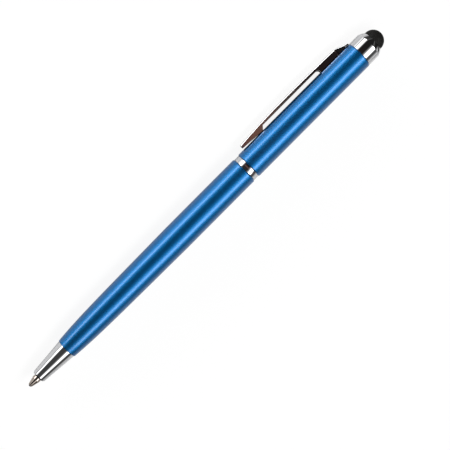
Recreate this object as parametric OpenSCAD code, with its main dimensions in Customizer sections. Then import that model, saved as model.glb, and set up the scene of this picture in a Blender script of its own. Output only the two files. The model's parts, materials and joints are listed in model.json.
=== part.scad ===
// Slim twist-action ballpoint pen with a pocket clip and a soft stylus end, in millimetres.
// The pen lies along X with its point towards -X, and leans on the edge of its clip on the +Y side.
// Inside the modules it is drawn in its own pen frame: X from the tip of the ball, Y towards the clip.

/* [Barrels] */
// Outside diameter of both barrels
barrel_d = 8; // [7.8:0.1:9]
// Length of the lower barrel, from the nose cone to the centre ring
lower_len = 67.6; // [60:0.1:76]
// Straight stretch at the rear of the lower barrel
straight_len = 25.9; // [22:0.1:34]
// Diameter of the lower barrel where it meets the nose cone
front_d = 6; // [5.9:0.1:6.6]
// Radius that the taper loses evenly along its length
taper_fall = 0.43; // [0.2:0.01:0.5]
// How late the taper curls in towards the nose
taper_power = 6; // [3:1:8]
// Wall of the lower barrel
lower_wall = 0.6; // [0.5:0.05:0.7]
// Length of the upper barrel
upper_len = 42.15; // [39:0.05:48]
// Wall of the upper barrel
upper_wall = 0.5; // [0.4:0.05:0.6]
// Broken edge on the ends of turned pieces
edge_break = 0.1; // [0.05:0.01:0.15]

/* [Nose cone] */
// Length of the cone that shows
nose_len = 10.8; // [9:0.1:14]
// Diameter of its front
nose_front_d = 3.9; // [3.6:0.1:4.6]
// Diameter of its rear
nose_rear_d = 5.7; // [5.4:0.1:5.9]
// Rounding of its front rim
nose_round = 0.3; // [0.15:0.05:0.4]
// Length of the spigot inside the lower barrel
spigot_len = 6; // [4:0.5:9]
// Length of the narrow throat that guides the refill point
throat_len = 3.5; // [2.5:0.5:4.5]

/* [Centre ring] */
// Diameter of the ring
ring_d = 7.6; // [7.5:0.1:7.8]
// Width of the ring that shows
ring_w = 1.6; // [1.4:0.1:3]
// Length of its spigot inside the upper barrel
ring_spigot_len = 2.5; // [1.5:0.1:3]

/* [Twist mechanism] */
// Travel of the refill
travel = 5.5; // [4.5:0.1:6.5]
// Turn of the upper half over that travel, in degrees
twist_turn = 180; // [150:5:200]
// Outside diameter of the guide tube
guide_d = 5.2; // [5.1:0.05:5.3]
// Wall of the guide tube
guide_wall = 0.5; // [0.45:0.05:0.55]
// Length of the guide tube that the bush holds
bush_len = 20; // [14:0.5:24]
// Wall of the cam sleeve
sleeve_wall = 0.45; // [0.4:0.05:0.5]
// Length of the cam sleeve
sleeve_len = 22.5; // [20:0.5:24]
// Distance of the drive pin from the sleeve's front end, with the point out
pin_from_sleeve = 10; // [8:0.5:11]
// Diameter of the drive pin
pin_d = 1.2; // [1:0.1:1.4]
// Length of the stop ring
stop_len = 1.45; // [1:0.05:1.8]
// Length of guide tube that stands past the stop ring
guide_end = 0.5; // [0.2:0.1:1]
// Thickness of the friction ring
friction_d = 0.7; // [0.6:0.05:0.75]
// Depth of its groove in the guide tube
groove_deep = 0.25; // [0.2:0.01:0.3]
// Length of liner past the stop ring
liner_end = 1.5; // [0.5:0.5:2.5]
// Length of the carrier in front of the drive pin
carrier_front = 6.5; // [5.5:0.5:8]
// Length of the carrier behind the drive pin
carrier_rear = 2.5; // [1.5:0.5:3.5]
// Depth of the carrier's socket for the refill
socket_deep = 4; // [3:0.5:4.5]
// Distance from the pen's axis to the buried end of the drive pin
pin_root = 0.4; // [0.2:0.1:0.8]

/* [Refill] */
// Length of the point that shows in front of the nose cone
tip_show = 3.5; // [3:0.1:4.5]
// Diameter of the writing ball
ball_d = 1; // [0.7:0.1:1.2]
// Length of ball in front of the socket's lip
ball_show = 0.32; // [0.2:0.02:0.36]
// Wall of the lip that holds the ball
lip_wall = 0.09; // [0.06:0.01:0.12]
// Diameter of the point behind its cone
point_d = 2.3; // [2:0.1:2.5]
// Distance from the ball's front to the end of the cone
cone_len = 2.6; // [2.2:0.1:3.2]
// Distance from the ball's front to the point's shoulder
point_len = 9; // [8:0.1:10.5]
// Length of that shoulder
shoulder_len = 0.8; // [0.5:0.1:1.2]
// Length of the point's shank inside the tube
shank_len = 3; // [2:0.5:4]
// Diameter of the duct that feeds the ball
duct_d = 0.5; // [0.4:0.05:0.6]
// Outside diameter of the refill tube
tube_d = 3; // [2.8:0.1:3.2]
// Wall of the refill tube
tube_wall = 0.25; // [0.2:0.05:0.35]
// Length of the ink column
ink_len = 58; // [30:1:62]
// Length of the grease plug behind the ink
grease_len = 4; // [2:0.5:6]
// Length of the refill plug inside the tube
plug_stem_len = 4; // [2:0.5:5]
// Length of the refill plug's head
plug_head_len = 0.8; // [0.5:0.1:1.2]
// Diameter of the air hole through the refill plug
vent_d = 0.6; // [0.4:0.1:0.8]

/* [Clip] */
// Length of the clip, from its free end to the barrel's top rim
clip_len = 39.95; // [36:0.05:40]
// Width of the clip
clip_w = 3; // [2.6:0.1:3.4]
// Thickness of the sheet
clip_sheet = 0.5; // [0.4:0.05:0.6]
// Thickness of the folded cheeks
cheek_t = 0.45; // [0.35:0.05:0.55]
// Height of the outer face above the barrel at the free end
clip_end_h = 1.4; // [1.2:0.05:1.6]
// Height of the outer face at its crown
clip_crown_h = 2.05; // [1.9:0.05:2.4]
// Height of the outer face where the ramp begins
clip_root_h = 1.75; // [1.5:0.05:1.85]
// Height of the outer face at the foot of the ramp
clip_foot_h = 0.3; // [0.2:0.05:0.4]
// Distance from the free end to the crown
crown_from_end = 16.5; // [14:0.5:20]
// Length of the ramp down to the rim
ramp_len = 3.9; // [3.3:0.1:4.2]
// Height of the cheeks' edge above the barrel along the middle
clip_gap = 1; // [0.7:0.05:1.1]
// Length of the deep cheeks at the root
root_cheek_len = 6.75; // [6:0.25:9]
// Radius where the deep cheeks begin
cheek_round = 0.9; // [0.5:0.1:1]
// Length of the cheeks beside the ramp
ramp_cheek_len = 2.4; // [1.8:0.1:2.6]
// Width of the slit that lets the ramp bend
relief_slit = 0.15; // [0.1:0.05:0.3]
// Distance from the free end to the lowest point of the grip
grip_from_end = 7.25; // [6:0.25:8]
// Length of the step behind the grip
grip_step = 1; // [0.5:0.1:1.4]
// Height of the cheeks' edge above the barrel at the free end
grip_end_h = 0.45; // [0.3:0.05:0.6]
// Clearance of the clip above the barrel
cheek_clear = 0.06; // [0.05:0.01:0.1]
// Width of the tongue that hooks into the rim
tongue_w = 2.4; // [2:0.1:2.5]
// Reach of the tongue inside the barrel's bore
tongue_in = 1.3; // [1:0.1:1.4]
// Play around the tongue
tongue_play = 0.15; // [0.1:0.01:0.2]

/* [Stylus end] */
// Diameter of the stylus holder
holder_d = 7.8; // [7.4:0.1:8]
// Length of its straight side
holder_straight = 3.5; // [3:0.1:5]
// Length of its sloping shoulder
slope_len = 1.5; // [1.2:0.1:2.4]
// How far that slope swells past a straight cone
slope_swell = 0.05; // [0.02:0.01:0.15]
// Diameter of its lip
lip_d = 6.2; // [6:0.1:6.8]
// Diameter of the recess that takes the dome's skirt
recess_d = 4.9; // [4.6:0.1:5.2]
// Depth of that recess
recess_deep = 3.8; // [3:0.1:4.4]
// Diameter of the stem inside the top plug
stem_d = 3.6; // [3:0.1:3.8]
// Length of the stem
stem_len = 6.5; // [5:0.5:8]
// Length of the top plug
plug_len = 9.5; // [9:0.5:11]
// Diameter of the rubber dome
dome_d = 5.9; // [5.6:0.1:6]
// Straight foot of the dome on the holder's lip
dome_foot = 0.35; // [0.1:0.05:0.5]
// Wall of the dome
dome_wall = 0.6; // [0.5:0.05:0.8]
// Diameter of the core inside the dome's skirt
core_d = 3.8; // [3.4:0.1:4]
// Height of the core above the holder's lip
core_rise = 0.15; // [0.05:0.05:0.3]

/* [Fits] */
// Gap between the halves where they turn on each other
turn_gap = 0.05; // [0.03:0.01:0.1]
// Radial clearance of running fits
run_clear = 0.05; // [0.03:0.01:0.06]
// Clearance on each side of the drive pin in its slots
pin_clear = 0.08; // [0.05:0.01:0.1]
// Clearance around the ball in its socket
ball_clear = 0.015; // [0.01:0.005:0.02]
// Clearance around the refill tube in the nose cone
tube_clear = 0.25; // [0.15:0.05:0.3]

/* [Hidden] */
$fn = 96;

// Radii
barrel_r = barrel_d / 2;
front_r = front_d / 2;
lower_bore_r = barrel_r - lower_wall;
spigot_r = front_r - lower_wall;
upper_bore_r = barrel_r - upper_wall;
guide_r = guide_d / 2;
guide_bore_r = guide_r - guide_wall;
sleeve_bore_r = guide_r + run_clear;
sleeve_r = sleeve_bore_r + sleeve_wall;
tube_r = tube_d / 2;
tube_bore_r = tube_r - tube_wall;
ball_r = ball_d / 2;
point_r = point_d / 2;
holder_r = holder_d / 2;
lip_r = lip_d / 2;
dome_r = dome_d / 2;

// Places along the pen, from the front of the ball
nose_x = tip_show;
lower_x = nose_x + nose_len;
spigot_x = lower_x + spigot_len;
ring_x = lower_x + lower_len;
straight_x = ring_x - straight_len;
upper_x = ring_x + turn_gap + ring_w;
ring_spigot_x = upper_x + ring_spigot_len;
top_x = upper_x + upper_len;
shoulder_x = top_x + holder_straight;
lip_x = shoulder_x + slope_len;
recess_x = lip_x - recess_deep;
dome_x = lip_x + dome_foot;
total_len = dome_x + dome_r;

// The twist mechanism follows the centre ring
groove_w = friction_d + 2 * run_clear;
friction_x = ring_spigot_x + groove_w;
sleeve_x = friction_x + groove_w;
sleeve_end_x = sleeve_x + sleeve_len;
stop_x = sleeve_end_x + turn_gap;
stop_end_x = stop_x + stop_len;
guide_end_x = stop_end_x + guide_end;
pin_x = sleeve_x + pin_from_sleeve;
slot_w = pin_d + 2 * pin_clear;
pin_end_r = sleeve_r - 2 * run_clear;

// The refill reaches from the ball to the carrier
tube_x = point_len + shoulder_len;
shank_end_x = tube_x + shank_len;
grease_x = shank_end_x + ink_len;
carrier_x = pin_x - carrier_front;
socket_x = carrier_x + socket_deep;
tube_end_x = socket_x - plug_head_len;

// The clip hooks under the stylus holder
clip_x = top_x - clip_len;
crown_x = clip_x + crown_from_end;
ramp_x = top_x - ramp_len;
root_x = ramp_x - root_cheek_len;
tongue_top_x = top_x - tongue_play;
tongue_x = tongue_top_x - clip_sheet;
notch_x = tongue_x - tongue_play;
pocket_y = upper_bore_r - tongue_in - tongue_play;

// Its cheeks stand astride the barrel, and its ramp ends just above it
cheek_low_y = sqrt(pow(barrel_r, 2) - pow(clip_w / 2 - cheek_t, 2)) + cheek_clear;
gap_y = barrel_r + clip_gap;
cheek_bend = min(cheek_round, gap_y - cheek_low_y);
foot_y = barrel_r + cheek_clear;
ramp_slope = (clip_root_h - clip_foot_h) / (tongue_top_x - ramp_x);
ramp_sheet_y = clip_sheet * sqrt(1 + pow(ramp_slope, 2));

// At rest the barrel and the clip's lower edge touch the table
crown_y = barrel_r + clip_crown_h;
edge_reach = norm([crown_y, clip_w / 2]);
rest_roll = asin(barrel_r / edge_reach) - atan2(clip_w / 2, crown_y);
clip_out_y = crown_y * cos(rest_roll) + clip_w / 2 * sin(rest_roll);
axis_y = (barrel_r - clip_out_y) / 2;

// A cutter reaches this far past the face that it opens
past = 1;

// Curves are drawn in this many straight steps
taper_steps = 16;
arch_steps = 12;
round_steps = 8;
slot_steps = 36;

function arc(centre, r, from, to) = [
  for (i = [0 : round_steps])
    let (a = from + (to - from) * i / round_steps)
    centre + r * [cos(a), sin(a)]
];

// Outer radius of the lower barrel: a slight taper that curls in towards the nose
function taper_r(x) =
  let (u = max(0, straight_x - x) / (straight_x - lower_x))
  barrel_r - taper_fall * u - (barrel_r - front_r - taper_fall) * pow(u, taper_power);

function taper_points(from, to, inset) = [
  for (i = [0 : taper_steps])
    let (x = from + (to - from) * i / taper_steps)
    [taper_r(x) - inset, x]
];

// Height of the clip's outer face above the pen's axis
function arch_y(x) =
  let (before = x < crown_x)
  let (end_h = before ? clip_end_h : clip_root_h)
  let (span = before ? crown_x - clip_x : ramp_x - crown_x)
  crown_y - (clip_crown_h - end_h) * pow((x - crown_x) / span, 2);

function arch_points(from, to, inset) = [
  for (i = [0 : arch_steps])
    let (x = from + (to - from) * i / arch_steps)
    [x, arch_y(x) - inset]
];

// Lays the pen on the table, in the part's own frame
module place() {
  translate([-total_len / 2, axis_y, barrel_r])
    rotate([-rest_roll, 0, 0])
      children();
}

// Turns an outline of [radius, x] points about the pen's axis
module lathe(outline) {
  rotate([0, 90, 0])
    rotate_extrude()
      polygon(outline);
}

module tube(r, bore_r, from, to) {
  lathe([[bore_r, from], [r, from], [r, to], [bore_r, to]]);
}

module rod(r, from, to) {
  translate([from, 0, 0])
    rotate([0, 90, 0])
      cylinder(r = r, h = to - from);
}

// A round bar across the pen, from one distance off its axis to another, towards the clip side
module cross_bar(x, d, from, to) {
  translate([x, from, 0])
    rotate([-90, 0, 0])
      cylinder(d = d, h = to - from);
}

// Extrudes an outline of [x, y] points to a width across the pen
module across(outline, width) {
  linear_extrude(height = width, center = true)
    polygon(outline);
}

// Room for the clip's tongue, in the barrel's rim and in the top plug
module tongue_pocket() {
  translate([notch_x, pocket_y, -tongue_w / 2 - tongue_play])
    cube([top_x - notch_x + tongue_play, barrel_d, tongue_w + 2 * tongue_play]);
}

module nose_cone() {
  throat_x = nose_x + throat_len;
  throat_r = point_r + run_clear;
  bore_r = tube_r + tube_clear;
  rim = [nose_front_d / 2 - nose_round, nose_x + nose_round];
  outline = concat(
    [[throat_r, nose_x]],
    arc(rim, nose_round, -90, 0),
    [
      [nose_rear_d / 2, lower_x],
      [spigot_r, lower_x],
      [spigot_r, spigot_x],
      [bore_r, spigot_x],
      [bore_r, throat_x],
      [throat_r, throat_x]
    ]
  );
  color("silver") place() lathe(outline);
}

module lower_barrel() {
  outline = concat(
    [[spigot_r, lower_x], [front_r - edge_break, lower_x]],
    taper_points(lower_x + edge_break, straight_x, 0),
    [
      [barrel_r, ring_x - edge_break],
      [barrel_r - edge_break, ring_x],
      [lower_bore_r, ring_x]
    ],
    taper_points(straight_x, spigot_x, lower_wall),
    [[spigot_r, spigot_x]]
  );
  color("royalblue") place() lathe(outline);
}

module mechanism_bush() {
  color("white") place() tube(lower_bore_r, guide_r, ring_x - bush_len, ring_x);
}

// The straight slot keeps the drive pin from turning
module guide_tube() {
  color("goldenrod") place() difference() {
    tube(guide_r, guide_bore_r, ring_x - bush_len, guide_end_x);
    tube(guide_d, guide_r - groove_deep, friction_x - groove_w / 2, friction_x + groove_w / 2);
    cross_bar(pin_x, slot_w, 0, guide_d);
    cross_bar(pin_x + travel, slot_w, 0, guide_d);
    translate([pin_x, 0, -slot_w / 2])
      cube([travel, guide_d, slot_w]);
  }
}

module friction_ring() {
  ring_r = guide_r - groove_deep + friction_d / 2;
  color("dimgray") place()
    translate([friction_x, 0, 0])
      rotate([0, 90, 0])
        rotate_extrude()
          translate([ring_r, 0])
            circle(d = friction_d, $fn = 48);
}

module stop_ring() {
  color("goldenrod") place() tube(sleeve_r - run_clear, guide_r, stop_x, stop_end_x);
}

module centre_ring() {
  bore_r = guide_r + run_clear;
  r = ring_d / 2;
  from = ring_x + turn_gap;
  outline = [
    [bore_r, from],
    [r - edge_break, from],
    [r, from + edge_break],
    [r, upper_x - edge_break],
    [r - edge_break, upper_x],
    [upper_bore_r, upper_x],
    [upper_bore_r, ring_spigot_x],
    [bore_r, ring_spigot_x]
  ];
  color("silver") place() lathe(outline);
}

module upper_barrel() {
  outline = [
    [upper_bore_r, upper_x],
    [barrel_r - edge_break, upper_x],
    [barrel_r, upper_x + edge_break],
    [barrel_r, top_x - edge_break],
    [barrel_r - edge_break, top_x],
    [upper_bore_r, top_x]
  ];
  color("royalblue") place() difference() {
    lathe(outline);
    tongue_pocket();
  }
}

module upper_liner() {
  color("white") place() tube(upper_bore_r, sleeve_r, ring_spigot_x, stop_end_x + liner_end);
}

// The helical slot: turning the sleeve drives the pin along the guide tube's slot
module helical_slot() {
  turn_per_mm = twist_turn / travel;
  lean = sleeve_bore_r * turn_per_mm * PI / 180;
  half_angle = slot_w * sqrt(1 + lean * lean) / sleeve_bore_r * 90 / PI;
  length = travel + slot_w;
  inside = guide_bore_r * [cos(half_angle), sin(half_angle)];
  outside = barrel_r * [cos(half_angle), sin(half_angle)];
  wedge = [[inside.x, -inside.y], [outside.x, -outside.y], outside, inside];
  translate([pin_x - slot_w / 2, 0, 0])
    rotate([0, 90, 0])
      rotate([0, 0, 90 + turn_per_mm * slot_w / 2])
        linear_extrude(
          height = length,
          twist = turn_per_mm * length,
          slices = slot_steps,
          segments = len(wedge)
        )
          polygon(wedge);
}

module cam_sleeve() {
  color("gainsboro") place() difference() {
    tube(sleeve_r, sleeve_bore_r, sleeve_x, sleeve_end_x);
    helical_slot();
  }
}

module top_plug() {
  color("white") place() difference() {
    rod(upper_bore_r, top_x - plug_len, top_x);
    rod(stem_d / 2, top_x - stem_len, top_x + past);
    tongue_pocket();
  }
}

module stylus_holder() {
  fall = holder_r - lip_r;
  chord = norm([fall, slope_len]);
  bend_r = (chord * chord / 4 + slope_swell * slope_swell) / (2 * slope_swell);
  half_bend = asin(chord / 2 / bend_r);
  lean = atan2(fall, slope_len) - half_bend;
  middle = [holder_r, shoulder_x] - bend_r * [cos(lean), sin(lean)];
  outline = concat(
    [
      [0, top_x - stem_len],
      [stem_d / 2, top_x - stem_len],
      [stem_d / 2, top_x],
      [holder_r - edge_break, top_x],
      [holder_r, top_x + edge_break]
    ],
    arc(middle, bend_r, lean, lean + 2 * half_bend),
    [[recess_d / 2, lip_x], [recess_d / 2, recess_x], [0, recess_x]]
  );
  color("silver") place() lathe(outline);
}

module stylus_core() {
  color("white") place() rod(core_d / 2, recess_x, lip_x + core_rise);
}

// A soft hollow dome whose skirt sits in the holder's recess, around the core
module stylus_dome() {
  color("dimgray") place() difference() {
    union() {
      intersection() {
        translate([dome_x, 0, 0]) sphere(r = dome_r);
        rod(dome_r, dome_x, total_len);
      }
      rod(dome_r, lip_x, dome_x);
      rod(recess_d / 2, recess_x, lip_x);
    }
    intersection() {
      translate([dome_x, 0, 0]) sphere(r = dome_r - dome_wall);
      rod(dome_r, dome_x, total_len);
    }
    rod(core_d / 2, recess_x - past, dome_x);
  }
}

// The lower edge of the clip's side cheeks, from the root to the free end
function cheek_edge() = concat(
  [[ramp_x, cheek_low_y], [root_x, cheek_low_y]],
  arc([root_x - cheek_bend, gap_y - cheek_bend], cheek_bend, 0, 90),
  [
    [clip_x + grip_from_end + grip_step, gap_y],
    [clip_x + grip_from_end, cheek_low_y],
    [clip_x, barrel_r + grip_end_h]
  ]
);

// Height of the ramp's outer face above the pen's axis
function ramp_y(x) = barrel_r + clip_root_h - ramp_slope * (x - ramp_x);

// A strip folded along both sides, bent down at the root and hooked into the barrel's rim
module clip() {
  face = concat(arch_points(clip_x, ramp_x, 0), arch_points(ramp_x, clip_x, clip_sheet));
  cheek = concat(arch_points(clip_x, ramp_x, 0), cheek_edge());
  under_x = ramp_x + (clip_root_h - ramp_sheet_y - cheek_clear) / ramp_slope;
  ramp = [
    [ramp_x, ramp_y(ramp_x)],
    [tongue_top_x, ramp_y(tongue_top_x)],
    [tongue_top_x, foot_y],
    [under_x, foot_y],
    [ramp_x, ramp_y(ramp_x) - ramp_sheet_y]
  ];
  slit_x = ramp_x + relief_slit;
  wing_x = slit_x + ramp_cheek_len;
  ramp_cheek = [
    [slit_x, ramp_y(slit_x)],
    [wing_x, ramp_y(wing_x)],
    [wing_x, cheek_low_y],
    [slit_x, cheek_low_y]
  ];
  tongue = [
    [tongue_x, upper_bore_r - tongue_in],
    [tongue_top_x, upper_bore_r - tongue_in],
    [tongue_top_x, foot_y],
    [tongue_x, foot_y]
  ];
  color("silver") place() union() {
    across(face, clip_w);
    across(ramp, clip_w);
    across(tongue, tongue_w);
    for (side = [-1, 1])
      translate([0, 0, side * (clip_w - cheek_t) / 2]) {
        across(cheek, cheek_t);
        across(ramp_cheek, cheek_t);
      }
  }
}

module carrier() {
  color("dimgray") place() difference() {
    rod(guide_bore_r - run_clear, carrier_x, pin_x + carrier_rear);
    rod(tube_r, carrier_x - past, socket_x);
    cross_bar(pin_x, pin_d, pin_root, guide_d);
  }
}

module drive_pin() {
  color("lightgray") place() cross_bar(pin_x, pin_d, pin_root, pin_end_r);
}

module refill_plug() {
  color("white") place() difference() {
    union() {
      rod(tube_bore_r, tube_end_x - plug_stem_len, tube_end_x);
      rod(tube_r, tube_end_x, socket_x);
    }
    rod(vent_d / 2, tube_end_x - plug_stem_len - past, socket_x + past);
  }
}

module refill_tube() {
  color("goldenrod") place() tube(tube_r, tube_bore_r, tube_x, tube_end_x);
}

module ink() {
  color("midnightblue") place() rod(tube_bore_r, shank_end_x, grease_x);
}

module grease_follower() {
  color("khaki") place() rod(tube_bore_r, grease_x, grease_x + grease_len);
}

// The point: a cone whose lip holds the ball, a shoulder against the tube and a shank inside it
module refill_tip() {
  seat_r = ball_r + ball_clear;
  duct_r = duct_d / 2;
  seat = arc([0, ball_r], seat_r, acos(duct_r / seat_r), asin((ball_show - ball_r) / seat_r));
  outline = concat(
    seat,
    [
      [ball_r + lip_wall, ball_show],
      [point_r, cone_len],
      [point_r, point_len],
      [tube_r, point_len],
      [tube_r, tube_x],
      [tube_bore_r, tube_x],
      [tube_bore_r, shank_end_x],
      [duct_r, shank_end_x]
    ]
  );
  color("darkkhaki") place() lathe(outline);
}

module writing_ball() {
  color("dimgray") place() translate([ball_r, 0, 0]) sphere(r = ball_r);
}

nose_cone();
lower_barrel();
mechanism_bush();
guide_tube();
friction_ring();
stop_ring();
centre_ring();
upper_barrel();
upper_liner();
cam_sleeve();
top_plug();
stylus_holder();
stylus_core();
stylus_dome();
clip();
carrier();
drive_pin();
refill_plug();
refill_tube();
ink();
grease_follower();
refill_tip();
writing_ball();
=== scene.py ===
# %% [markdown]
# # A slim twist pen with a soft stylus end
# The solid model of the pen is finished: it has the right sizes, and its pieces turn and slide.
# This lesson dresses it. Each piece that shows gets a smooth mesh with softened edges, every piece gets
# a finish, and a small studio is built around the pen.
# Nothing here moves or resizes the solid model. It is loaded once, as the fixed frame for all that follows.

import json
import math

import bmesh
import bpy
from mathutils import Matrix, Vector


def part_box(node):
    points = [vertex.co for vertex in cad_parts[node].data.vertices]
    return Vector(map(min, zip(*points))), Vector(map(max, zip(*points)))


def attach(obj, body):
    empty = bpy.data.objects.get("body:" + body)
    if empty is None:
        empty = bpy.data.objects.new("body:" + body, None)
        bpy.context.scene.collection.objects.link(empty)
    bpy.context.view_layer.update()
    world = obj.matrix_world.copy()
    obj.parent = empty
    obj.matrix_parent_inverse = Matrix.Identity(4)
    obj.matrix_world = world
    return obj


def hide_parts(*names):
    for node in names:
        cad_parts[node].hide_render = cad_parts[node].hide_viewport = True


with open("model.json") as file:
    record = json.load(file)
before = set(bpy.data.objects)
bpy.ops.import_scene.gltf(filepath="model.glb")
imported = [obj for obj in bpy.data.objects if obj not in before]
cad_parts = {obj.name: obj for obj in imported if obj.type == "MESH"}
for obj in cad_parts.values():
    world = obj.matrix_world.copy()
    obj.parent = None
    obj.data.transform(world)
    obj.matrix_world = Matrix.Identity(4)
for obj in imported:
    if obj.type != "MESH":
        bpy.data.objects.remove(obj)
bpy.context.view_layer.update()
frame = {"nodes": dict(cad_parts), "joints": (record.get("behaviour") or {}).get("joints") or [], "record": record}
scene = bpy.context.scene

# %% [markdown]
# ## The pen's own axes
# A pen is turned on a lathe, so nearly every piece is round about one line. It is far easier to model along
# that line than in the tilted way in which the pen lies on the table.
# We could read the tilt off a drawing, but the frame already knows it: the clip springs about a pin that
# runs straight across the pen, and the ball sits on the pen's axis at its very tip.
# From these two we make one matrix, `pen`. Pieces are modelled in millimetres from the tip of the ball,
# with X along the pen, Y towards the clip and Z across, and the matrix lays them in place.

# %% Find the axes in the frame
MM = 0.001
record = frame["record"]
slot_of = {part["node"]: part["material_slot"] for part in record["subparts"]}
body_of = {node: body for body, group in record["behaviour"]["bodies"].items() for node in group}

clip_hinge = next(joint for joint in frame["joints"] if joint["name"] == "clip_flex")
along = Vector((1, 0, 0))
across = -Vector(clip_hinge["axis"])
outward = across.cross(along)

ball_low, ball_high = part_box("writing_ball")
ball_middle = (ball_low + ball_high) / 2
pen = Matrix((along, outward, across)).transposed().to_4x4()
pen.translation = (ball_low.x, ball_middle.y, ball_middle.z)
print("Roll of the pen on the table:", round(math.degrees(math.atan2(across.y, across.z)), 2), "degrees")

# %% [markdown]
# ## The camera
# The camera comes first, because every later choice is judged through it.
# The photograph looks straight at the side of the pen, with the clip in profile and the pen running from
# the lower left to the upper right. We could turn the pen under an upright camera, but the frame must not
# move. So the camera looks down the pen's own Z axis and is rolled about it instead.
# A long lens from a third of a metre gives the flat perspective of a product picture.

# %% Set up the camera
CAMERA_ROLL = math.radians(45.14)
CAMERA_DISTANCE = 330 * MM
CAMERA_LENS = 98.17
SENSOR_WIDTH = 36
NEAREST_SEEN = 10 * MM
LOOK_AT = Vector((67.824, -6.75, 0)) * MM

right = math.cos(CAMERA_ROLL) * along - math.sin(CAMERA_ROLL) * outward
up = math.sin(CAMERA_ROLL) * along + math.cos(CAMERA_ROLL) * outward
stand = Matrix((right, up, across)).transposed().to_4x4()
stand.translation = pen @ LOOK_AT + CAMERA_DISTANCE * across

camera = bpy.data.objects.new("studio_camera", bpy.data.cameras.new("studio_camera"))
camera.data.lens = CAMERA_LENS
camera.data.sensor_width = SENSOR_WIDTH
camera.data.clip_start = NEAREST_SEEN
camera.matrix_world = stand
scene.collection.objects.link(camera)
scene.camera = camera
scene.view_settings.view_transform = "Standard"
print("Camera stands at", [round(c, 3) for c in camera.matrix_world.translation])

# %% [markdown]
# ## Tools for shaders
# Light and finishes are both drawn with shader nodes. Nodes can be placed by hand in the editor, but a
# script that names each one and says what feeds it can be read from top to bottom.
# So a few helpers add a node with its inputs: a plain one, a sum, a choice between two numbers, a blend of
# two colours, and a ramp, which turns a number into a brightness or a colour by a list of stops.
# A Mix node has sockets for every type of value. We name the ones for numbers and for colours.

# %% Helpers for shader nodes
NUMBER_A, NUMBER_B = 2, 3
COLOUR_A, COLOUR_B, COLOUR_OUT = 6, 7, 2


def add_node(tree, kind, inputs=None, **settings):
    """Adds a node, sets its options, and links or sets its inputs."""
    made = tree.nodes.new(kind)
    for name, value in settings.items():
        setattr(made, name, value)
    for name, value in (inputs or {}).items():
        if isinstance(value, bpy.types.NodeSocket):
            tree.links.new(value, made.inputs[name])
        else:
            made.inputs[name].default_value = value
    return made


def calculate(tree, operation, *values, **settings):
    """The result of a sum with one, two or three values."""
    inputs = dict(enumerate(values))
    return add_node(tree, "ShaderNodeMath", inputs, operation=operation, **settings).outputs[0]


def choose(tree, factor, one, other):
    """The first number where the factor is 0, the other where it is 1."""
    return add_node(tree, "ShaderNodeMix", {"Factor": factor, NUMBER_A: one, NUMBER_B: other}).outputs[0]


def blend(tree, factor, one, other, way="MIX"):
    """Two colours, blended in one of Blender's ways."""
    inputs = {"Factor": factor, COLOUR_A: one, COLOUR_B: other}
    return add_node(tree, "ShaderNodeMix", inputs, data_type="RGBA", blend_type=way).outputs[COLOUR_OUT]


def add_ramp(tree, value, low, high, stops):
    """A colour ramp over a range of values. Each stop has a place in that range, and a grey or a colour."""
    place = add_node(tree, "ShaderNodeMapRange", {"Value": value, "From Min": low, "From Max": high})
    made = add_node(tree, "ShaderNodeValToRGB", {"Fac": place.outputs["Result"]})
    elements = made.color_ramp.elements
    # A new stop has to start somewhere on the ramp. Its own place is set below.
    while len(elements) < len(stops):
        elements.new(0.5)
    for element, (where, light) in zip(elements, stops):
        element.position = (where - low) / (high - low)
        element.color = (*light, 1) if isinstance(light, tuple) else (light, light, light, 1)
    return made.outputs["Color"]


print("Colours mix through sockets", COLOUR_A, "and", COLOUR_B)

# %% [markdown]
# ## A studio made of bands
# A polished round bar is a mirror that shows the whole room squeezed into stripes along its length. The
# stripes on the pen's chrome therefore tell how the studio was lit: one light panel nearly overhead, a
# little to the far side, one low on the clip's side, and a dark room around the camera.
# Lamps and cards could be set up for this, but each would have to be found by trial. The world shader can
# hold the same room directly: the angle about the pen's axis picks a brightness from a ramp, `ROUND_PEN`.
# Angles are measured from straight up, towards the clip's side. Like soft boxes, the panels are brightest
# in the middle. Together they light a matt white card to about white, so colours come out as written.

# %% Set the bands round the pen
ROUND_PEN = [
    (-180, 0.8), (-85, 0.8), (-72, 0.49), (-62, 0.12), (-52, 0.06), (-45, 0.09), (-41, 0.25), (-36, 1.0),
    (-30, 3.0), (-21, 7.2), (-13, 3.4), (-7, 1.5), (-3, 0.8), (2, 0.35), (8, 0.09), (15, 0.01),
    (55, 0.01), (60, 0.2), (65, 1.0), (70, 2.8), (77, 7.2), (84, 3.2), (90, 1.3), (95, 0.9), (180, 0.9),
]
brightest = max(light for angle, light in ROUND_PEN)
print("Panels at", [angle for angle, light in ROUND_PEN if light == brightest], "degrees from straight up")

# %% [markdown]
# The room changes along the pen too. Three more ramps tell how, by the part of a direction that points along
# the pen: it is -1 straight towards the point, 0 straight across, and 1 straight towards the stylus.
# `ALONG_PEN` dims the panels towards their ends, past which the room is dark.
# `FAR_PANEL_BOW` says how many degrees the far panel hangs further out. It bows out over the middle of the
# pen and draws in towards the point, so its stripe on the barrel is bowed as well.
# `DARK_PART` is the light of the room between the panels, which is warm brown in one spot near the camera.
# A ramp can't hold numbers below zero, so the bow is lifted by `BOW_ROOM` before it and lowered after it.

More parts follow.
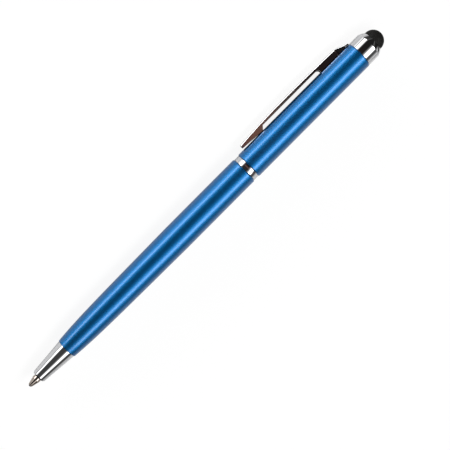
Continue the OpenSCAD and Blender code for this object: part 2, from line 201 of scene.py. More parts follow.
# %% Set the bands along the pen
ALONG_PEN = [
    (-0.90, 0.01), (-0.78, 0.2), (-0.68, 0.28), (-0.40, 0.32), (-0.33, 0.45), (-0.26, 1.0), (0.66, 1.0),
    (0.80, 0.02),
]
FAR_PANEL_BOW = [(-0.36, -7), (-0.25, 2), (-0.08, 4.5), (0.03, 4.2), (0.095, 1), (0.18, 0)]
BOW_ROOM = 10
DARK_PART = [
    (-0.55, 0.02), (-0.42, 0.06), (-0.30, 0.06), (-0.10, 0.03), (0.02, (0.03, 0.027, 0.026)),
    (0.045, (0.06, 0.024, 0.036)), (0.066, (0.20, 0.094, 0.068)), (0.10, (0.09, 0.07, 0.062)),
    (0.14, (0.02, 0.012, 0.012)), (0.2, 0.015),
]
lifted_bow = [(where, bow + BOW_ROOM) for where, bow in FAR_PANEL_BOW]
print("Far panel bows out by up to", max(bow for where, bow in FAR_PANEL_BOW), "degrees")

# %% [markdown]
# Now the world shader puts these together. It finds the angle about the pen and shifts it by the bow, but
# only on the far panel's side of the dark gap. The bands, dimmed towards the ends, and the dark part of the
# room are laid over each other, and the lighter one shows.
# Rays from the camera itself see plain white, which keeps the background clean from every side.

# %% Draw the studio in the world
HALF_TURN = 180
BETWEEN_PANELS = 35

world = bpy.data.worlds.new("studio")
world.use_nodes = True
scene.world = world
tree = world.node_tree
tree.nodes.clear()
sight = add_node(tree, "ShaderNodeTexCoord").outputs["Generated"]
parts = add_node(tree, "ShaderNodeSeparateXYZ", {"Vector": sight}).outputs
degrees = calculate(tree, "DEGREES", calculate(tree, "ARCTAN2", parts["Y"], parts["Z"]))

far_side = calculate(tree, "LESS_THAN", degrees, BETWEEN_PANELS)
bow = calculate(tree, "SUBTRACT", add_ramp(tree, parts["X"], -1, 1, lifted_bow), BOW_ROOM)
shifted = calculate(tree, "MULTIPLY_ADD", far_side, bow, degrees)
bands = add_ramp(tree, shifted, -HALF_TURN, HALF_TURN, ROUND_PEN)
ends = add_ramp(tree, parts["X"], -1, 1, ALONG_PEN)
dark = add_ramp(tree, parts["X"], -1, 1, DARK_PART)
light = blend(tree, 1.0, blend(tree, 1.0, bands, ends, "MULTIPLY"), dark, "LIGHTEN")

room = add_node(tree, "ShaderNodeBackground", {"Color": light, "Strength": 1})
blank = add_node(tree, "ShaderNodeBackground", {"Color": (1, 1, 1, 1), "Strength": 1})
seen = add_node(tree, "ShaderNodeLightPath").outputs["Is Camera Ray"]
backdrop = add_node(tree, "ShaderNodeMixShader", {0: seen, 1: room.outputs[0], 2: blank.outputs[0]})
add_node(tree, "ShaderNodeOutputWorld", {"Surface": backdrop.outputs[0]})
print("Studio is drawn with", len(tree.nodes), "nodes")

# %% [markdown]
# ## The table
# The pen lies on a white sheet. One large square face is enough, because the camera never sees its edge.

# %% Lay the table
TABLE_HALF = 1.5

mesh = bpy.data.meshes.new("table")
corners = [(-TABLE_HALF, -TABLE_HALF, 0), (TABLE_HALF, -TABLE_HALF, 0)]
corners += [(TABLE_HALF, TABLE_HALF, 0), (-TABLE_HALF, TABLE_HALF, 0)]
mesh.from_pydata(corners, [], [(0, 1, 2, 3)])
table = bpy.data.objects.new("table", mesh)
scene.collection.objects.link(table)
print("Table is", 2 * TABLE_HALF, "m wide")

# %% [markdown]
# A white paint alone would come out grey here, because much of the room is dark. So the sheet glows a
# little, but only for rays that come from the camera or from a shiny surface. For light that bounces on to
# other things it is plain white paint. Its painted share still darkens under the pen, which keeps the
# shadow.
# Mirrored in the chrome, the sheet should be greyer close to the pen and brighter further out, where the low
# panel would throw a pool of light on it. So shiny surfaces see a painted pool of light: a glow that depends on
# how far a spot lies from its middle, with painted shade close to the pen and a thin painted shadow line along
# its edge. They also see a larger share of paint, so the shadow shows more in them, and both fall dark past
# the pen's two ends, which is painted shade on the sheet.

# %% Paint the table
TABLE_GLOW = 0.91
TABLE_PAINT = 0.11
PLAIN_WHITE = 0.8
# Painted pool of light for shiny surfaces, with painted shade near the pen and a painted shadow line at its edge.
POOL_CENTRE = (0.05, 0.20, 0)
POOL_REACH = 0.25
PAINTED_POOL_GLOW = [(0, 0.85), (0.176, 0.85), (0.187, 0.16), (0.193, 0.32), (POOL_REACH, 0.32)]
GLOSS_PAINT = 0.5
TABLE_SPAN = 0.1
# Painted shade: the sheet's glow and paint fall dark past the pen's two ends.
PAINTED_SHADE_ALONG_TABLE = [(-0.082, 0.06), (-0.072, 1.0), (0.069, 1.0), (0.078, 0.06)]

sheet = bpy.data.materials.new("white_sheet")
sheet.use_nodes = True
tree = sheet.node_tree
tree.nodes.clear()
path = add_node(tree, "ShaderNodeLightPath").outputs
direct = calculate(tree, "ADD", path["Is Camera Ray"], path["Is Glossy Ray"])
direct = calculate(tree, "ADD", direct, path["Is Transmission Ray"], use_clamp=True)

spot = add_node(tree, "ShaderNodeNewGeometry").outputs["Position"]
away = add_node(tree, "ShaderNodeVectorMath", {0: spot, 1: POOL_CENTRE}, operation="DISTANCE")
along_x = add_node(tree, "ShaderNodeSeparateXYZ", {"Vector": spot}).outputs["X"]
# Painted shade past the pen's ends, and the painted pool of light with its painted shadow line.
ends = add_ramp(tree, along_x, -TABLE_SPAN, TABLE_SPAN, PAINTED_SHADE_ALONG_TABLE)
painted_pool = calculate(tree, "MULTIPLY", add_ramp(tree, away.outputs["Value"], 0, POOL_REACH, PAINTED_POOL_GLOW), ends)
strength = choose(tree, path["Is Glossy Ray"], TABLE_GLOW, painted_pool)
share = choose(tree, path["Is Glossy Ray"], TABLE_PAINT, calculate(tree, "MULTIPLY", ends, GLOSS_PAINT))

matt = add_node(tree, "ShaderNodeBsdfDiffuse", {"Color": (PLAIN_WHITE, PLAIN_WHITE, PLAIN_WHITE, 1)})
faint = add_node(tree, "ShaderNodeBsdfDiffuse", {"Color": share})
glow = add_node(tree, "ShaderNodeEmission", {"Color": (1, 1, 1, 1), "Strength": strength})
bright = add_node(tree, "ShaderNodeAddShader", {0: faint.outputs[0], 1: glow.outputs[0]})
surface = add_node(tree, "ShaderNodeMixShader", {0: direct, 1: matt.outputs[0], 2: bright.outputs[0]})
add_node(tree, "ShaderNodeOutputMaterial", {"Surface": surface.outputs[0]})
table.data.materials.append(sheet)
print("Sheet glows at", TABLE_GLOW, "with a painted share of", TABLE_PAINT)

# %% [markdown]
# ## One recipe for all finishes
# No real surface has a single flat colour. Turned metal keeps fine rings from the cutting tool, rubber has
# a grain, and plastic a slight mottle. All of these can come from one recipe: a noise texture, stretched
# where the tool ran, that shifts the colour and the roughness a little and lifts a very low relief.
# Image textures would need unwrapped surfaces. The noise is solid and needs none, and it stays with the
# piece when it moves.

# %% Define the recipe
NOISE_DETAIL = 3.0
finishes = {}


def make_finish(name, dark, light, metal, roughness, grain, relief, stretch=1.0):
    """A finish mottled by noise. Grain and relief are in mm; stretch under 1 draws it round the pen."""
    finish = bpy.data.materials.new(name)
    finish.use_nodes = True
    tree = finish.node_tree
    shader = tree.nodes["Principled BSDF"]
    place = add_node(tree, "ShaderNodeTexCoord").outputs["Object"]
    drawn = add_node(tree, "ShaderNodeMapping", {"Vector": place, "Scale": (1, stretch, stretch)}).outputs[0]
    scale = 1 / (grain * MM)
    noise = add_node(
        tree, "ShaderNodeTexNoise", {"Vector": drawn, "Scale": scale, "Detail": NOISE_DETAIL}
    ).outputs["Fac"]
    colour = blend(tree, noise, (*dark, 1), (*light, 1))
    smooth, coarse = roughness
    rough = add_node(tree, "ShaderNodeMapRange", {"Value": noise, "To Min": smooth, "To Max": coarse})
    bump = add_node(tree, "ShaderNodeBump", {"Height": noise, "Distance": relief * MM})
    shader.inputs["Metallic"].default_value = metal
    tree.links.new(colour, shader.inputs["Base Color"])
    tree.links.new(rough.outputs["Result"], shader.inputs["Roughness"])
    tree.links.new(bump.outputs["Normal"], shader.inputs["Normal"])
    finishes[name] = finish
    print("Finish", name, "with a grain of", grain, "mm")
    return shader.inputs


# %% [markdown]
# ## Blue anodised aluminium
# The barrels are aluminium tubes. Anodising grows a clear, hard layer on the metal, which takes up a blue
# dye and is then sealed. Light passes through the dye, comes back blue from the metal below, and some of
# it is thrown back white by the sealed top.
# A single metal layer can give only one colour of gloss. So the blue metal, which is satin, lies under a
# coat that is smoother and uncoloured: dark blue in the shade, pale blue in the lights.

# %% Mix the blue
blue = make_finish(
    "anodised_blue", dark=(0.004, 0.125, 0.34), light=(0.008, 0.165, 0.44), metal=1,
    roughness=(0.38, 0.48), grain=0.16, relief=0.0008, stretch=0.06,
)
blue["Coat Weight"].default_value = 1.0
blue["Coat Roughness"].default_value = 0.06
blue["Coat IOR"].default_value = 1.38

# %% [markdown]
# ## Chrome
# The nose cone, the ring, the clip and the stylus holder are plated. Chrome is close to a perfect mirror
# with a slightly cool tint, so its look is nearly all reflection. A trace of polishing marks in the
# roughness keeps it from looking like a computer's mirror.
# The clip's inner faces get a near-black finish of their own, which is painted shade for the inside of the
# channel. The glossy barrel mirrors them as a dark line.

# %% Plate the chrome
make_finish(
    "chrome", dark=(0.70, 0.705, 0.72), light=(0.76, 0.76, 0.77), metal=1,
    roughness=(0.02, 0.06), grain=0.5, relief=0.0001, stretch=0.3,
)
# Painted shade: a near-black metal for the faces inside the clip's channel.
make_finish(
    "painted_channel_shade", dark=(0.04, 0.04, 0.042), light=(0.08, 0.08, 0.083), metal=1,
    roughness=(0.35, 0.50), grain=0.2, relief=0.002,
)

# %% [markdown]
# ## Rubber, point and ball
# The stylus dome is a soft conductive rubber, nearly black, with a fine moulded grain and hardly any shine.
# The writing point is nickel silver, turned and left bright, a little warmer than chrome. The ball in it is
# ground carbide, and the film of ink that it always wears makes it nearly black.

# %% Mix the rubber, point and ball
rubber = make_finish(
    "stylus_rubber", dark=(0.004, 0.004, 0.0038), light=(0.010, 0.0098, 0.009), metal=0,
    roughness=(0.55, 0.75), grain=0.12, relief=0.006,
)
rubber["Specular IOR Level"].default_value = 0.18
make_finish(
    "nickel_silver", dark=(0.46, 0.39, 0.34), light=(0.64, 0.56, 0.50), metal=1,
    roughness=(0.08, 0.16), grain=0.10, relief=0.0004, stretch=0.1,
)
make_finish(
    "ball_carbide", dark=(0.006, 0.006, 0.010), light=(0.03, 0.03, 0.034), metal=1,
    roughness=(0.15, 0.30), grain=0.30, relief=0.0002,
)

# %% [markdown]
# ## Finishes of the works inside
# The mechanism and the refill hardly ever show, but they are real pieces, and whoever opens the pen should
# find them finished: drawn brass tubes, a steel pin, moulded plastics, a rubber ring, ink and grease.

# %% Mix the inner finishes
make_finish("brass", (0.62, 0.42, 0.14), (0.72, 0.52, 0.22), 1, (0.18, 0.30), 0.3, 0.0004, 0.2)
make_finish("steel", (0.48, 0.49, 0.50), (0.60, 0.60, 0.62), 1, (0.15, 0.28), 0.15, 0.0003)
make_finish("black_rubber", (0.010, 0.010, 0.010), (0.022, 0.022, 0.022), 0, (0.5, 0.7), 0.15, 0.004)
make_finish("white_plastic", (0.74, 0.74, 0.71), (0.80, 0.80, 0.78), 0, (0.35, 0.50), 0.4, 0.001)
make_finish("grey_plastic", (0.28, 0.29, 0.31), (0.36, 0.37, 0.39), 0, (0.35, 0.50), 0.4, 0.001)
make_finish("ink", (0.004, 0.006, 0.08), (0.012, 0.016, 0.14), 0, (0.05, 0.12), 1.5, 0.0005)
make_finish("grease", (0.66, 0.58, 0.32), (0.76, 0.69, 0.44), 0, (0.12, 0.25), 0.8, 0.002)

# %% [markdown]
# ## Tools for turned pieces
# Sizes that the solid model has are not typed in again. Helpers read them from its vertices, in the pen's
# own axes: where a piece starts and ends along the pen, and which radii it has at one place.

# %% Helpers that measure the solid model
def pen_points(node):
    """The vertices of a CAD node in the pen's own axes, in mm."""
    to_pen = pen.inverted()
    return [(to_pen @ vertex.co) / MM for vertex in frame["nodes"][node].data.vertices]


def span(node):
    """Where a CAD node starts and ends along the pen, in mm."""
    xs = [point.x for point in pen_points(node)]
    return round(min(xs), 3), round(max(xs), 3)


def radii_at(node, x, reach=0.02):
    """The radii of a turned CAD node's corners at one place along the pen, smallest first, in mm."""
    found = [math.hypot(p.y, p.z) for p in pen_points(node) if abs(p.x - x) < reach]
    return sorted({round(r, 2) for r in found})


print("Pen is", span("stylus_dome")[1], "mm long")

# %% [markdown]
# A turned piece is an outline spun round the pen's axis. Blender could spin a curve with a Screw modifier,
# but a short bmesh spin gives a plain closed mesh at once.
# Real edges are never perfectly sharp: each has a tiny round that catches a line of light. So an outline is
# a list of corners, each with its own rounding in millimetres, and a helper swaps the corner for an arc.

# %% Helpers for outlines and spinning
TURN_STEPS = 144
ARC_STEPS = 5
SAME_POINT = 1e-5


def arc(centre, radius, start, end, steps):
    """Points on an arc, from one angle to another in degrees, in the order they are met."""
    angles = [math.radians(start + (end - start) * i / steps) for i in range(steps + 1)]
    return [(centre[0] + radius * math.cos(a), centre[1] + radius * math.sin(a)) for a in angles]


def soften(corners):
    """Turns (x, r, round) corners of a closed outline into points, with an arc at each rounded corner."""
    points = []
    for i, (x, r, bend) in enumerate(corners):
        if not bend:
            points.append((x, r))
            continue
        corner = Vector((x, r))
        before = (Vector(corners[i - 1][:2]) - corner).normalized()
        after = (Vector(corners[(i + 1) % len(corners)][:2]) - corner).normalized()
        half = before.angle(after) / 2
        start = corner + before * bend / math.tan(half)
        end = corner + after * bend / math.tan(half)
        middle = corner + (before + after).normalized() * bend / math.sin(half)
        from_spoke, to_spoke = (start - middle).normalized(), (end - middle).normalized()
        for step in range(ARC_STEPS + 1):
            points.append(tuple(middle + bend * from_spoke.slerp(to_spoke, step / ARC_STEPS)))
    return points


def turn(outline):
    """Spins a closed outline of (x, r) points round the pen's axis."""
    shape = bmesh.new()
    ring = [shape.verts.new((x, 0, r)) for x, r in outline]
    edges = [shape.edges.new((ring[i - 1], ring[i])) for i in range(len(ring))]
    bmesh.ops.spin(
        shape, geom=ring + edges, cent=(0, 0, 0), axis=(1, 0, 0), angle=2 * math.pi,
        steps=TURN_STEPS, use_merge=True,
    )
    bmesh.ops.remove_doubles(shape, verts=shape.verts, dist=SAME_POINT)
    return shape


print("Outlines are spun in", TURN_STEPS, "steps")

# %% [markdown]
# Once a shape exists, it needs to be placed, finished and tied to the frame. Smooth shading alone would
# smear the light of the small roundings over the long faces beside them. A Weighted Normal modifier lets
# the big faces win, so they stay clean up to the rounding.
# `fit` does all of this, and takes the body and the finish from the solid that the piece stands for. A
# second finish can be named for faces that the shape marks as its inside.

# %% Helper for fitting a piece
SHARP_DEGREES = 25


def fit(name, shape, node, inside=None):
    """Makes a piece of a mesh in pen axes, lays it on the table and lets it stand for a CAD node."""
    bmesh.ops.recalc_face_normals(shape, faces=shape.faces)
    shape.transform(pen @ Matrix.Scale(MM, 4))
    mesh = bpy.data.meshes.new(name)
    shape.to_mesh(mesh)
    shape.free()
    mesh.shade_smooth()
    mesh.set_sharp_from_angle(angle=math.radians(SHARP_DEGREES))
    mesh.materials.append(finishes[slot_of[node]])
    if inside:
        mesh.materials.append(finishes[inside])
    piece = bpy.data.objects.new(name, mesh)
    scene.collection.objects.link(piece)
    even = piece.modifiers.new("even_faces", "WEIGHTED_NORMAL")
    even.keep_sharp = True
    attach(piece, body_of[node])
    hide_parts(node)
    print("Piece", name, "rides on", body_of[node], "with", len(mesh.polygons), "faces")


print("Edges over", SHARP_DEGREES, "degrees stay sharp")

# %% [markdown]
# ## Nose cone
# The nose is a slim chromed cone. Its front rim has a fine chamfer, which mirrors the dark end of the room
# and the painted shade on the sheet beyond the point, and so shows as a thin dark line. The refill's point comes
# out through its throat, and a spigot behind it presses into the barrel.
# The outline follows the solid corner by corner and closes round the bore, so that one can look into the
# throat when the point is drawn in.

# %% Turn the nose cone
nose_x, spigot_x = span("nose_cone")
lower_x, ring_x = span("lower_barrel")
throat_r = radii_at("nose_cone", nose_x)[0]
spigot_r, nose_rear_r = radii_at("nose_cone", lower_x)
nose_bore_r = radii_at("nose_cone", spigot_x)[0]
NOSE_FRONT_R = 1.97
NOSE_RIM = 0.42
NOSE_RIM_DROP = 0.25
NOSE_RIM_ROUND = 0.05
NOSE_REAR_ROUND = 0.07
THROAT_LEN = 3.5
THROAT_ROUND = 0.06
SPIGOT_ROUND = 0.1

nose_outline = soften([
    (nose_x, throat_r, THROAT_ROUND),
    (nose_x, NOSE_FRONT_R - NOSE_RIM_DROP, NOSE_RIM_ROUND),
    (nose_x + NOSE_RIM, NOSE_FRONT_R, 0),
    (lower_x, nose_rear_r, NOSE_REAR_ROUND),
    (lower_x, spigot_r, 0),
    (spigot_x, spigot_r, SPIGOT_ROUND),
    (spigot_x, nose_bore_r, 0),
    (nose_x + THROAT_LEN, nose_bore_r, 0),
    (nose_x + THROAT_LEN, throat_r, 0),
])
fit("nose_cone_plated", turn(nose_outline), "nose_cone")

# %% [markdown]
# ## Lower barrel
# The lower barrel is straight at the rear, loses a little width over its whole length, and then curls in
# where it meets the nose. The solid has that curve in a few straight steps, which is enough to hold it.
# On a glossy barrel each step would show as a kink in the reflections, so the same curve is walked in many
# more steps here. The rear rim gets a fine chamfer, while at the front rim only the edge is broken.

# %% Turn the lower barrel
STRAIGHT_LEN = 25.9
TAPER_FALL = 0.43
TAPER_POWER = 6
TAPER_STEPS = 60
EDGE = 0.10
RIM = 0.28
RIM_DROP = 0.18

barrel_r = radii_at("lower_barrel", ring_x - EDGE)[-1]
front_r = radii_at("lower_barrel", lower_x)[-1] + EDGE
lower_bore_r = radii_at("lower_barrel", ring_x)[0]
straight_x = ring_x - STRAIGHT_LEN


def taper_r(x):
    """Radius of the lower barrel at one place along the pen."""
    u = max(0, straight_x - x) / (straight_x - lower_x)
    return barrel_r - TAPER_FALL * u - (barrel_r - front_r - TAPER_FALL) * u ** TAPER_POWER


taper_len = straight_x - lower_x - EDGE
taper_x = [lower_x + EDGE + taper_len * i / TAPER_STEPS for i in range(TAPER_STEPS + 1)]
wall = barrel_r - lower_bore_r
barrel_outline = [(lower_x, spigot_r), (lower_x, front_r - EDGE)]
barrel_outline += [(x, taper_r(x)) for x in taper_x]
barrel_outline += [(ring_x - RIM, barrel_r), (ring_x, barrel_r - RIM_DROP), (ring_x, lower_bore_r)]
barrel_outline += [(x, taper_r(x) - wall) for x in reversed(taper_x) if x > spigot_x]
barrel_outline += [(spigot_x, spigot_r)]
fit("lower_barrel_tube", turn(barrel_outline), "lower_barrel")

# %% [markdown]
# ## Centre ring
# A plain chromed ring parts the halves. It is a shade narrower than the barrels, which leaves a fine step
# on either side, and it turns with the upper half.

# %% Turn the centre ring
ring_front_x, ring_end_x = span("centre_ring")
upper_x, top_x = span("upper_barrel")
ring_bore_r, upper_bore_r = radii_at("centre_ring", ring_end_x)
ring_r = radii_at("centre_ring", upper_x - EDGE)[-1]

ring_outline = soften([
    (ring_front_x, ring_bore_r, 0),
    (ring_front_x, ring_r, EDGE),
    (upper_x, ring_r, EDGE),
    (upper_x, upper_bore_r, 0),
    (ring_end_x, upper_bore_r, 0),
    (ring_end_x, ring_bore_r, 0),
])
fit("centre_ring_plated", turn(ring_outline), "centre_ring")

# %% [markdown]
# ## Upper barrel
# The upper barrel is a straight tube with a fine chamfer at either rim. A small notch is milled into its top
# rim, and the clip's tongue hooks through it. The notch could be built into the mesh by hand, but a Boolean
# cut with a block is how the mill does it, and it leaves the rest of the tube as it was.

# %% Turn the upper barrel and cut its notch
NOTCH_HALF_W = 1.35
NOTCH_DEEP = 0.80

tube_outline = [(upper_x, upper_bore_r), (upper_x, barrel_r - RIM_DROP), (upper_x + RIM, barrel_r)]
tube_outline += [(top_x - RIM, barrel_r), (top_x, barrel_r - RIM_DROP), (top_x, upper_bore_r)]
tube_shape = turn(tube_outline)
block_size = Vector((2 * NOTCH_DEEP, barrel_r, 2 * NOTCH_HALF_W))
block_place = Matrix.Translation((top_x, barrel_r, 0)) @ Matrix.Diagonal((*block_size, 1))
block_shape = bmesh.new()
bmesh.ops.create_cube(block_shape, size=1, matrix=block_place)


def cut(shape, cutter):
    """Cuts one shape from another with a Boolean modifier, and gives back the result."""
    pair = []
    for part in (shape, cutter):
        bmesh.ops.recalc_face_normals(part, faces=part.faces)
        mesh = bpy.data.meshes.new("cutting")
        part.to_mesh(mesh)
        part.free()
        pair.append(bpy.data.objects.new("cutting", mesh))
        scene.collection.objects.link(pair[-1])
    mill = pair[0].modifiers.new("mill", "BOOLEAN")
    mill.object = pair[1]
    mill.solver = "EXACT"
    result = bmesh.new()
    result.from_object(pair[0], bpy.context.evaluated_depsgraph_get())
    for part in pair:
        bpy.data.meshes.remove(part.data)
    return result


fit("upper_barrel_tube", cut(tube_shape, block_shape), "upper_barrel")

# %% [markdown]
# ## Stylus holder
# The holder is a chromed cap whose shoulder slopes in to a narrow lip. The slope could be a plain cone, but
# on the real cap it swells a little, which bends the stripes where they run over it. It faces the dark end
# of the room and mirrors the painted shade on the sheet past the pen's end, so most of it looks dark.
# The swell is given as a height over the straight slope, and the radius of its arc follows from that.

# %% Turn the stylus holder
stem_x, lip_x = span("stylus_holder")
recess_x, dome_tip_x = span("stylus_dome")
stem_r = radii_at("stylus_holder", stem_x)[-1]
holder_r = radii_at("stylus_holder", top_x + EDGE)[-1]
recess_r, lip_r = radii_at("stylus_holder", lip_x)
SLOPE_LEN = 1.5
SLOPE_SWELL = 0.05
SLOPE_STEPS = 14

fall = holder_r - lip_r
chord = math.hypot(fall, SLOPE_LEN)
swell_r = (chord ** 2 / 4 + SLOPE_SWELL ** 2) / (2 * SLOPE_SWELL)
half_swell = math.degrees(math.asin(chord / 2 / swell_r))
slope_start = 90 - math.degrees(math.atan2(fall, SLOPE_LEN)) + half_swell
lean = math.radians(slope_start)
swell_middle = (lip_x - SLOPE_LEN - swell_r * math.cos(lean), holder_r - swell_r * math.sin(lean))

holder_outline = [(stem_x, 0), (stem_x, stem_r), (top_x, stem_r)]
holder_outline += arc((top_x + EDGE, holder_r - EDGE), EDGE, 180, 90, ARC_STEPS)
holder_outline += arc(swell_middle, swell_r, slope_start, slope_start - 2 * half_swell, SLOPE_STEPS)
holder_outline += [(lip_x, recess_r), (recess_x, recess_r), (recess_x, 0)]
fit("stylus_holder_plated", turn(holder_outline), "stylus_holder")

# %% [markdown]
# ## Stylus dome
# The rubber dome rises from the holder's lip, and its skirt is trapped in the recess behind that lip. The
# dome is hollow, which is why it yields to a fingertip's weight on a screen. A sphere could be cut in half
# for it, but an outline with an outer and an inner arc gives the wall at once.

# %% Mould the dome
dome_r = radii_at("stylus_dome", lip_x)[-1]
core_r = radii_at("stylus_dome", recess_x)[0]
dome_x = dome_tip_x - dome_r
DOME_WALL = 0.6
DOME_STEPS = 28

dome_outline = [(recess_x, core_r), (recess_x, recess_r), (lip_x, recess_r), (lip_x, dome_r)]
dome_outline += arc((dome_x, 0), dome_r, 90, 0, DOME_STEPS)
dome_outline += arc((dome_x, 0), dome_r - DOME_WALL, 0, 90, DOME_STEPS)
dome_outline += [(dome_x, core_r)]
fit("stylus_dome_moulded", turn(dome_outline), "stylus_dome")

# %% [markdown]
# ## Writing point
# The point is turned from nickel silver: a cylinder that runs through the nose's throat, a cone, and a thin
# lip that is rolled over the ball to hold it. The lip is what shows as a fine bright ring behind the ball.
# The ball keeps the solid model's mesh, so the seat behind it is an arc about the ball's own middle.

# %% Turn the point
point_front_x, shank_x = span("refill_tip")
tube_x = span("refill_tube")[0]
duct_r, shank_r = radii_at("refill_tip", shank_x)
shoulder_r = radii_at("refill_tip", tube_x)[-1]
ball_r = (ball_middle.x - ball_low.x) / MM
POINT_R = 1.15
CONE_END_X = 2.6
CONE_ROUND = 0.25
SHOULDER_FRONT_X = 9.0
SHOULDER_ROUND = 0.1
LIP_WALL = 0.09
LIP_ROUND = 0.04
BALL_CLEAR = 0.015
SEAT_STEPS = 10

seat_r = ball_r + BALL_CLEAR
seat_from = math.degrees(math.acos((point_front_x - ball_r) / seat_r))
seat_to = math.degrees(math.asin(duct_r / seat_r))
point_outline = soften([
    (point_front_x, ball_r + LIP_WALL, LIP_ROUND),
    (CONE_END_X, POINT_R, CONE_ROUND),
    (SHOULDER_FRONT_X, POINT_R, 0),
    (SHOULDER_FRONT_X, shoulder_r, SHOULDER_ROUND),
    (tube_x, shoulder_r, 0),
    (tube_x, shank_r, 0),
    (shank_x, shank_r, 0),
    (shank_x, duct_r, 0),
    (ball_r + seat_r * math.cos(math.radians(seat_to)), duct_r, 0),
])
point_outline += arc((ball_r, 0), seat_r, seat_to, seat_from, SEAT_STEPS)[1:]
fit("writing_point_turned", turn(point_outline), "refill_tip")

# %% [markdown]
# ## Clip
# The clip is stamped from thin sheet and folded into a channel: a flat face, two side cheeks, and rounded
# folds between them. The cheeks are deep at the root and at the grip near the free end, and shallow between.
# At the root the strip bends down a ramp, with a slit in each cheek that lets it bend. Short cheeks go on
# beside the ramp, and behind them a bare foot and a tongue hook into the barrel's notch.
# Folding a plate with modifiers would be true to the factory but hard to steer. Instead we loft: at each
# place along the clip we draw the section, always with the same number of points, and skin the sections.
# The points run from the middle of the face over the fold and round the cheek's lower edge to the inside.
# The four sides that follow the cheek's inner edge line the channel, and they will get its painted shade.

# %% Draw the clip's section
CLIP_W = 3.0
SHEET = 0.50
CHEEK = 0.45
FOLD_R = 0.42
FOLD_STEPS = 7
INNER_EDGE = FOLD_STEPS + 3
INNER_SIDES = range(INNER_EDGE + 1, INNER_EDGE + 5)


def clip_section(depth, width=CLIP_W, sheet=SHEET, fold=FOLD_R, inset=0.0):
    """Half of the channel and its mirror, as (across, below the face) points. Inset shrinks it all round."""
    half = width / 2 - inset
    low = depth - inset
    inner = width / 2 - CHEEK + inset
    roof = sheet - inset
    side = [(0, inset)]
    side += [(z, inset + fold - d) for z, d in arc((half - fold, 0), fold, 90, 0, FOLD_STEPS)]
    side += [(half, low), (inner, low), (inner, roof), (0, roof)]
    return side + [(-z, d) for z, d in reversed(side[1:-1])]


print("Section has", len(clip_section(1.0)), "points")

# %% [markdown]
# The face rises in a low arch from the free end to its crown, falls again towards the root and bends over
# into the straight ramp. A soft minimum of the arch and the ramp gives that bend its rounding. The cheeks'
# lower edge is a function too: the slanted grip, the long shallow stretch, the small fillet and the deep
# root.

# %% Shape the face and the cheeks
clip_x, tongue_top_x = span("clip")
crown_y = max(point.y for point in pen_points("clip"))
CROWN_FROM_END = 16.5
END_DROP = 0.65
ROOT_DROP = 0.30
RAMP_LEN = 3.9
RAMP_SOFT = 0.20
FOOT_H = 0.30
ROOT_LEN = 6.75
CLIP_GAP = 1.05
CHEEK_CLEAR = 0.06
FILLET = 0.9
GRIP_FROM_END = 7.25
GRIP_STEP = 1.0
GRIP_END_H = 0.45

crown_x = clip_x + CROWN_FROM_END
ramp_x = top_x - RAMP_LEN
root_x = ramp_x - ROOT_LEN
grip_x = clip_x + GRIP_FROM_END
deep_y = math.sqrt(barrel_r ** 2 - (CLIP_W / 2 - CHEEK) ** 2) + CHEEK_CLEAR
mid_y = barrel_r + CLIP_GAP
foot_y = barrel_r + FOOT_H
ramp_slope = (crown_y - ROOT_DROP - foot_y) / (tongue_top_x - ramp_x)


def face_y(x):
    """Height of the clip's face above the pen's axis."""
    drop, reach = (END_DROP, crown_x - clip_x) if x < crown_x else (ROOT_DROP, ramp_x - crown_x)
    arch = crown_y - drop * ((x - crown_x) / reach) ** 2
    ramp = foot_y + ramp_slope * (tongue_top_x - x)
    return (arch + ramp - math.hypot(arch - ramp, RAMP_SOFT)) / 2


def cheek_y(x):
    """Height of the cheeks' lower edge above the pen's axis."""
    if x <= grip_x:
        return barrel_r + GRIP_END_H + (deep_y - barrel_r - GRIP_END_H) * (x - clip_x) / GRIP_FROM_END
    if x <= grip_x + GRIP_STEP:
        return deep_y + (mid_y - deep_y) * (x - grip_x) / GRIP_STEP
    if x <= root_x - FILLET:
        return mid_y
    if x < root_x:
        return mid_y - FILLET + math.sqrt(FILLET ** 2 - (x - root_x + FILLET) ** 2)
    return deep_y


print("Face stands", round(face_y(clip_x), 2), "to", round(crown_y, 2), "mm above the pen's axis")

# %% [markdown]
# Along the arch the sections stand upright, close together where an edge changes quickly. The first one is
# shrunk a little, which rounds the free end. The fold is wide along the arch, grows tight where the strip
# bends down, and eases again on the ramp.

# %% Place the sections along the arch
RAMP_FOLD = 0.35
TIGHT_FOLD = 0.14
FOLD_EASE = 0.5
RAMP_EASE = 1.2
END_ROUND = 0.10
STATION = 0.75
FILLET_STEPS = 10
EASE_STEPS = 8


def spread(start, end):
    """Places from start to end, about one station apart, without the end."""
    count = max(1, round((end - start) / STATION))
    return [start + (end - start) * i / count for i in range(count)]


def upright(x, low_y, sheet=SHEET, fold=FOLD_R, inset=0.0):
    """An upright section of the clip at one place along the pen, down to a given height."""
    return [(x, face_y(x) - d, z) for z, d in clip_section(face_y(x) - low_y, CLIP_W, sheet, fold, inset)]


def fold_r(x):
    """Radius of the fold at one place along the pen."""
    full, ease = (FOLD_R, FOLD_EASE) if x < ramp_x else (RAMP_FOLD, RAMP_EASE)
    return TIGHT_FOLD + (full - TIGHT_FOLD) * min(1, abs(x - ramp_x) / ease)


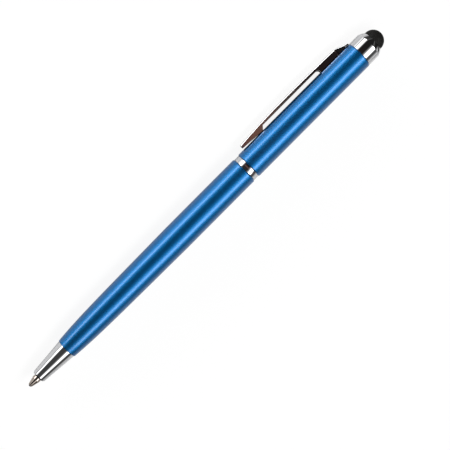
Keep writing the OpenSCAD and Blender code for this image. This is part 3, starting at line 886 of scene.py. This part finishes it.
fillet_turns = [math.radians(90 * i / FILLET_STEPS) for i in range(FILLET_STEPS)]
arch_x = spread(clip_x + END_ROUND, grip_x) + [grip_x] + spread(grip_x + GRIP_STEP, root_x - FILLET)
arch_x += [root_x - FILLET + FILLET * math.sin(turned) for turned in fillet_turns]
arch_x += spread(root_x, ramp_x - FOLD_EASE)
arch_x += [ramp_x - FOLD_EASE + FOLD_EASE * i / EASE_STEPS for i in range(EASE_STEPS + 1)]
rings = [upright(clip_x, cheek_y(clip_x), inset=END_ROUND)]
rings += [upright(x, cheek_y(x), fold=fold_r(x)) for x in arch_x]
print("Arch has", len(rings), "sections from", clip_x, "to", ramp_x, "mm")

# %% [markdown]
# On the ramp the sections stay upright: the slit, the short cheeks, and the bare sheet behind them, which
# thins a little, as a stamping does where it is drawn round a bend. A cheek starts and stops within a sliver
# of the length, so two sections nearly meet there.

# %% Bend the ramp
SLIT = 0.15
WING_LEN = 2.4
WING_STEPS = 8
BARE_STATION = 0.25
TONGUE_SHEET = 0.36
SLIVER = 0.02

slit_x = ramp_x + SLIT
wing_x = slit_x + WING_LEN
ramp_angle = -math.degrees(math.atan(ramp_slope))


def ramp_sheet(x):
    """Upright thickness of the sheet on the ramp."""
    share = (x - ramp_x) / (tongue_top_x - ramp_x)
    return (SHEET + (TONGUE_SHEET - SHEET) * share) / math.cos(math.radians(ramp_angle))


def bare(x):
    """A section of the ramp's sheet without its cheeks."""
    return upright(x, face_y(x) - ramp_sheet(x) - SLIVER, ramp_sheet(x), fold_r(x))


rings += [bare(ramp_x + SLIVER), bare(slit_x)]
for i in range(WING_STEPS + 1):
    x = slit_x + SLIVER + (wing_x - slit_x - SLIVER) * i / WING_STEPS
    rings.append(upright(x, deep_y, ramp_sheet(x), fold_r(x)))
rings += [bare(wing_x + SLIVER), bare(wing_x + BARE_STATION), bare(wing_x + 2 * BARE_STATION)]
print("Ramp falls at", round(-ramp_angle, 1), "degrees")

# %% [markdown]
# At the foot the sections turn with the sheet into the notch. Once the sheet heads down steeply enough, it
# narrows to the tongue.

# %% Bend the foot into the tongue
FOOT_BEND_R = 0.42
TONGUE_W = 2.4
TONGUE_END_Y = 2.2
STEEP = -70
DOWN = -90


def bend_stations(corner, radius, angle_in, angle_out):
    """Points and headings, in degrees, of a rounded bend in the sheet's outer face."""
    heading = Vector((math.cos(math.radians(angle_in)), math.sin(math.radians(angle_in))))
    reach = radius * math.tan(math.radians(abs(angle_out - angle_in)) / 2)
    start = corner - heading * reach
    middle = start + Vector((heading.y, -heading.x)) * radius
    swing = arc(middle, radius, angle_in + 90, angle_out + 90, ARC_STEPS)
    turns = [angle_in + (angle_out - angle_in) * i / ARC_STEPS for i in range(ARC_STEPS + 1)]
    return list(zip(swing, turns))


strip = bend_stations(Vector((tongue_top_x, foot_y)), FOOT_BEND_R, ramp_angle, DOWN)
strip += [((tongue_top_x, TONGUE_END_Y), DOWN)]
for (x, y), heading in strip:
    width = CLIP_W if heading > STEEP else TONGUE_W
    tilt = math.radians(heading)
    section = clip_section(TONGUE_SHEET + SLIVER, width, TONGUE_SHEET, TIGHT_FOLD)
    rings.append([(x + math.sin(tilt) * d, y - math.cos(tilt) * d, z) for z, d in section])
print("Clip has", len(rings), "sections")

# %% [markdown]
# Skinning joins each section to the next with a ring of four-sided faces, and caps both ends. The inner
# sides are marked for the second finish on the way.

# %% Skin the clip
def skin(rings):
    """A closed mesh through rings that all have the same number of points, with its two ends capped."""
    shape = bmesh.new()
    loops = [[shape.verts.new(point) for point in ring] for ring in rings]
    for one, other in zip(loops, loops[1:]):
        for i in range(len(one)):
            face = shape.faces.new((one[i - 1], one[i], other[i], other[i - 1]))
            face.material_index = int(i in INNER_SIDES)
    shape.faces.new(loops[0])
    shape.faces.new(reversed(loops[-1]))
    return shape


# The inner sides take the painted shade of the channel.
fit("clip_folded", skin(rings), "clip", inside="painted_channel_shade")

# %% [markdown]
# ## The ball and the works inside
# The other pieces keep the solid model's own meshes, which are right as they are. They only take on their
# finishes, by the slot that the record gives each of them.

# %% Finish the carried pieces
carried = [node for node, solid in frame["nodes"].items() if not solid.hide_render]
for node in carried:
    solid = frame["nodes"][node]
    if not solid.material_slots:
        solid.data.materials.append(None)
    for slot in solid.material_slots:
        slot.material = finishes[slot_of[node]]
print("Carried over:", sorted(carried))
